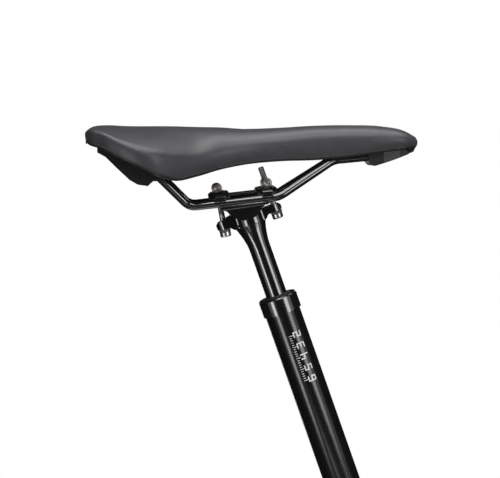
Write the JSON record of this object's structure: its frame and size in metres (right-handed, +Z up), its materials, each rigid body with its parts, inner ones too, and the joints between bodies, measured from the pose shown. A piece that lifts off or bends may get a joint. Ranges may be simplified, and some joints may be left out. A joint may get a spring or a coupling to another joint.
{
  "type": "sprung telescoping seatpost with saddle",
  "caption": "Telescoping sprung bicycle seatpost with a two-bolt rocker head, clamping a padded saddle by its two bent rails.",
  "frame": {"origin": "on the post's axis, at the underside of the collar, which is as far as the frame's seat tube may come up", "axes": "+X forward to the saddle's nose, +Y to the rider's left, +Z up; the post's axis leans back 19.4 degrees from +Z"},
  "size_m": [0.2775, 0.1472, 0.3977],
  "materials": {
    "post_tube": "gloss black anodised, lengthwise gleam",
    "post_collar": "gloss black anodised, turned",
    "shaft_black": "gloss black, forged head",
    "clamp_black": "black anodised, satin",
    "raw_alloy": "turned, uncoated",
    "polished_steel": "polished, with fine turning marks",
    "rail_black": "gloss black lacquer",
    "spring_steel": "oiled",
    "brass_key": "milled",
    "acetal": "turned white plastic",
    "rubber_seal": "matt moulded rubber",
    "elastomer": "translucent amber elastomer",
    "shell_plastic": "black, lightly spark-eroded",
    "foam": "moulded foam skin",
    "cover_leather": "satin dark grey synthetic leather"
  },
  "bodies": {
    "outer": {"outer_tube": "post_tube", "collar": "post_collar", "wiper_seal": "rubber_seal", "guide_sleeve": "acetal"},
    "inner": {"inner_shaft": "shaft_black", "shaft_keys": "brass_key", "shaft_foot": "raw_alloy", "topout_bumper": "rubber_seal"},
    "preload_seat": {"lower_spring_seat": "acetal", "elastomer_rod": "elastomer", "thrust_washer": "brass_key", "main_spring": "spring_steel"},
    "preload_screw": {"preload_plug": "post_collar"},
    "clamp": {"lower_cradle": "clamp_black", "upper_clamp": "clamp_black"},
    "rear_washer": {"rear_bolt_washer": "polished_steel"},
    "rear_screw": {"rear_bolt": "polished_steel"},
    "rear_nut": {"rear_barrel_nut": "polished_steel"},
    "front_washer": {"front_bolt_washer": "polished_steel"},
    "front_screw": {"front_bolt": "polished_steel"},
    "front_nut": {"front_barrel_nut": "polished_steel"},
    "saddle": {"left_rail": "rail_black", "right_rail": "rail_black", "saddle_shell": "shell_plastic", "saddle_foam": "foam", "saddle_cover": "cover_leather"}
  },
  "joints": [
    {"name": "post_slide", "type": "slide", "parent": "outer", "child": "inner", "axis": [0.3322, 0, -0.9432], "range_m": [0, 0.04], "stiffness_N_per_m": 9200, "springref_m": -0.008, "deforming": ["main_spring"]},
    {"name": "preload_slide", "type": "slide", "parent": "outer", "child": "preload_seat", "axis": [-0.3322, 0, 0.9432], "range_m": [0, 0.008], "deforming": ["main_spring"]},
    {"name": "preload_turn", "type": "hinge", "parent": "preload_seat", "child": "preload_screw", "pos_m": [0.07972, 0, -0.22637], "axis": [-0.3322, 0, 0.9432], "range_deg": [0, 1925]},
    {"name": "saddle_tilt", "type": "hinge", "parent": "inner", "child": "clamp", "pos_m": [-0.03371, 0, 0.09574], "axis": [0, -1, 0], "range_deg": [-3, 13]},
    {"name": "rear_bolt_swing", "type": "hinge", "parent": "inner", "child": "rear_washer", "pos_m": [-0.04895, 0, 0.06917], "axis": [0, -1, 0], "range_deg": [-1.2, 4.8]},
    {"name": "rear_bolt_turn", "type": "hinge", "parent": "rear_washer", "child": "rear_screw", "pos_m": [-0.04895, 0, 0.06917], "axis": [-0.1886, 0, 0.9821], "range_deg": [-500, 2150]},
    {"name": "rear_nut_turn", "type": "hinge", "parent": "clamp", "child": "rear_nut", "pos_m": [-0.0559, 0, 0.10536], "axis": [0, -1, 0], "range_deg": [-8.6, 2.1]},
    {"name": "front_bolt_swing", "type": "hinge", "parent": "inner", "child": "front_washer", "pos_m": [-0.00519, 0, 0.08458], "axis": [0, -1, 0], "range_deg": [-1, 3.9]},
    {"name": "front_bolt_turn", "type": "hinge", "parent": "front_washer", "child": "front_screw", "pos_m": [-0.00519, 0, 0.08458], "axis": [-0.3331, 0, 0.9429], "range_deg": [-2310, 540]},
    {"name": "front_nut_turn", "type": "hinge", "parent": "clamp", "child": "front_nut", "pos_m": [-0.01416, 0, 0.10997], "axis": [0, -1, 0], "range_deg": [-9.4, 2.3]},
    {"name": "saddle_slide", "type": "slide", "parent": "clamp", "child": "saddle", "axis": [0.994, 0, 0.1097], "range_m": [0, 0.013]}
  ],
  "couplings": [
    {"joint": "preload_turn", "follows": "preload_slide", "rad_per_m": 4188.8},
    {"joint": "rear_bolt_swing", "follows": "saddle_tilt", "ratio": 0.356},
    {"joint": "rear_nut_turn", "follows": "saddle_tilt", "ratio": -0.644},
    {"joint": "rear_bolt_turn", "follows": "saddle_tilt", "ratio": 164},
    {"joint": "front_bolt_swing", "follows": "saddle_tilt", "ratio": 0.288},
    {"joint": "front_nut_turn", "follows": "saddle_tilt", "ratio": -0.712},
    {"joint": "front_bolt_turn", "follows": "saddle_tilt", "ratio": -176.5}
  ]
}
